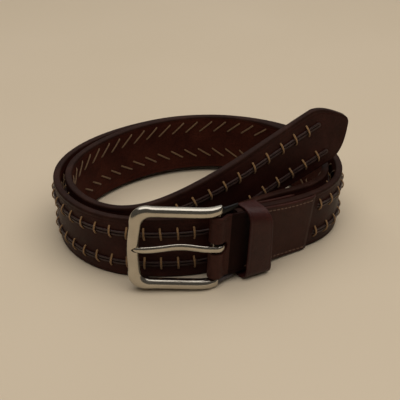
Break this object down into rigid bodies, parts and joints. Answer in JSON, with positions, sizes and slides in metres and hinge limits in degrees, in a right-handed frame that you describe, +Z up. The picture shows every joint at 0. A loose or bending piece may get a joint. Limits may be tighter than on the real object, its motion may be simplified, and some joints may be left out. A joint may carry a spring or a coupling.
{
  "type": "corded leather belt",
  "caption": "Leather belt with whipped cord rows on its outer face, rolled into a coil on its edge, with a pronged heel-bar buckle, folded chape, keeper and rounded tip.",
  "frame": {"origin": "on the surface that the belt stands on, under the middle of its outline", "axes": "+X to the right with the buckle in front, +Y away from the buckle into the coil, +Z up across the strap's width"},
  "size_m": [0.1624, 0.1446, 0.0712],
  "materials": {
    "strap_leather": "smooth, half-gloss dark reddish brown",
    "chape_leather": "smooth, half-gloss reddish brown",
    "cord": "waxed round cord, dark brown, whipped with tan thread",
    "satin_metal": "satin nickel plating"
  },
  "bodies": {
    "strap": {"strap": "strap_leather", "upper_cords": "cord", "lower_cords": "cord", "chape": "chape_leather", "keeper": "chape_leather"},
    "buckle": {"buckle_frame": "satin_metal"},
    "prong": {"prong": "satin_metal"}
  },
  "joints": [
    {"name": "buckle_swing", "type": "hinge", "parent": "strap", "child": "buckle", "pos_m": [0.00856, -0.06439, 0.0233], "axis": [0.0455, 0.0347, 0.9984], "range_deg": [0, 40]},
    {"name": "prong_swing", "type": "hinge", "parent": "buckle", "child": "prong", "pos_m": [0.00856, -0.06439, 0.0233], "axis": [0.0455, 0.0347, 0.9984], "range_deg": [0, 75]}
  ]
}
